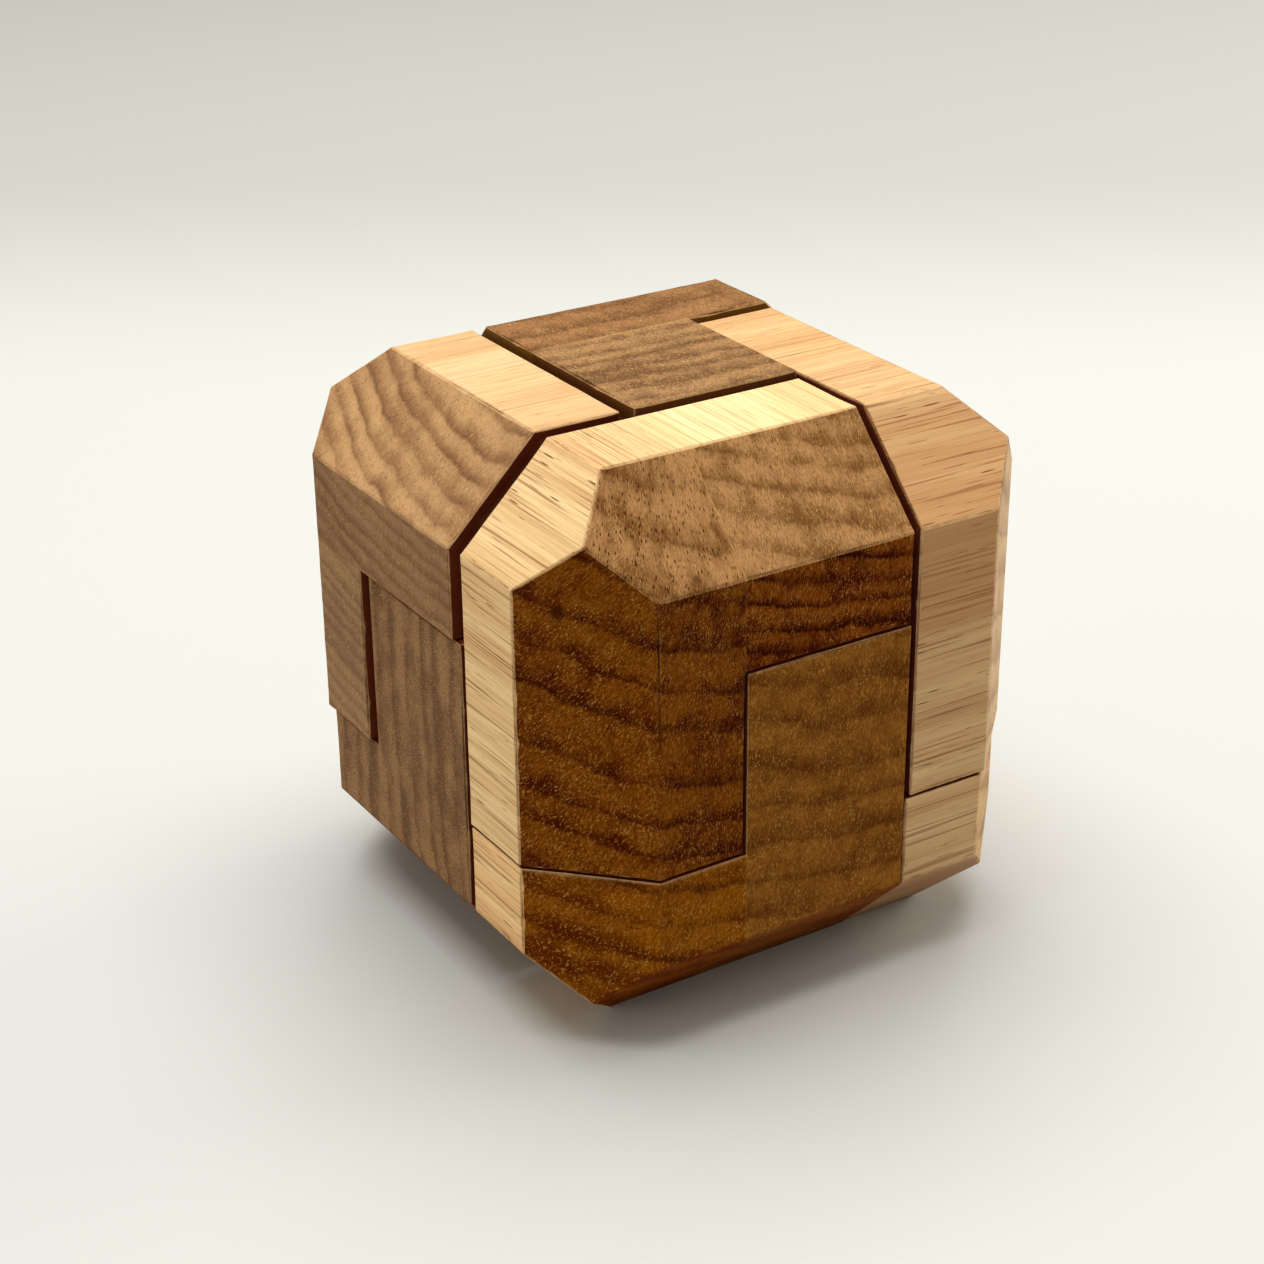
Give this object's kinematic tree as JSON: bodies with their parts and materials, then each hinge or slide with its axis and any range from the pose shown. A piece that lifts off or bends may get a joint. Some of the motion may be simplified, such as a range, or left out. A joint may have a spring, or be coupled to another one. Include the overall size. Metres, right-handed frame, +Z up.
{
  "type": "interlocking puzzle cube",
  "caption": "Bevelled wooden puzzle cube built from loose L-shaped pieces that interlock around a core and slide out.",
  "frame": {"origin": "centre of the flat bottom of the core piece, at the centre of the whole bottom face", "axes": "+Z up; +Y to the back; -Y is the face whose upper left piece shows its end grain as an upside-down L"},
  "size_m": [0.0609, 0.0617, 0.0604],
  "materials": {
    "wood_front": "satin oil",
    "wood_side": "satin oil",
    "wood_top": "satin oil",
    "wood_hidden": "satin oil"
  },
  "bodies": {
    "front_upper": {"front_upper_bar": "wood_front", "front_upper_cube": "wood_front"},
    "left_upper": {"left_upper_bar": "wood_side", "left_upper_cube": "wood_side"},
    "right_upper": {"right_upper_bar": "wood_side", "right_upper_cube": "wood_side"},
    "top": {"top_bar": "wood_top", "top_cube": "wood_top"},
    "front_lower": {"front_lower_bar": "wood_front", "front_lower_cube": "wood_front"},
    "left_lower": {"left_lower_bar": "wood_side", "left_lower_cube": "wood_side"},
    "right_lower": {"right_lower_bar": "wood_side", "right_lower_cube": "wood_side"},
    "back": {"back_bar": "wood_hidden", "back_cube": "wood_hidden"},
    "core": {"core_bar": "wood_hidden", "core_cube": "wood_hidden"}
  },
  "joints": [
    {"name": "front_upper_slide", "type": "slide", "parent": "core", "child": "front_upper", "axis": [0, -1, 0], "range_m": [0, 0.032]},
    {"name": "left_upper_slide", "type": "slide", "parent": "core", "child": "left_upper", "axis": [-1, 0, 0], "range_m": [0, 0.032]},
    {"name": "right_upper_slide", "type": "slide", "parent": "core", "child": "right_upper", "axis": [1, 0, 0], "range_m": [0, 0.032]},
    {"name": "top_slide", "type": "slide", "parent": "core", "child": "top", "axis": [0, 0, 1], "range_m": [0, 0.032]},
    {"name": "front_lower_slide", "type": "slide", "parent": "core", "child": "front_lower", "axis": [0, -1, 0], "range_m": [0, 0.032]},
    {"name": "left_lower_slide", "type": "slide", "parent": "core", "child": "left_lower", "axis": [-1, 0, 0], "range_m": [0, 0.032]},
    {"name": "right_lower_slide", "type": "slide", "parent": "core", "child": "right_lower", "axis": [1, 0, 0], "range_m": [0, 0.032]},
    {"name": "back_slide", "type": "slide", "parent": "core", "child": "back", "axis": [0, 1, 0], "range_m": [0, 0.032]}
  ]
}
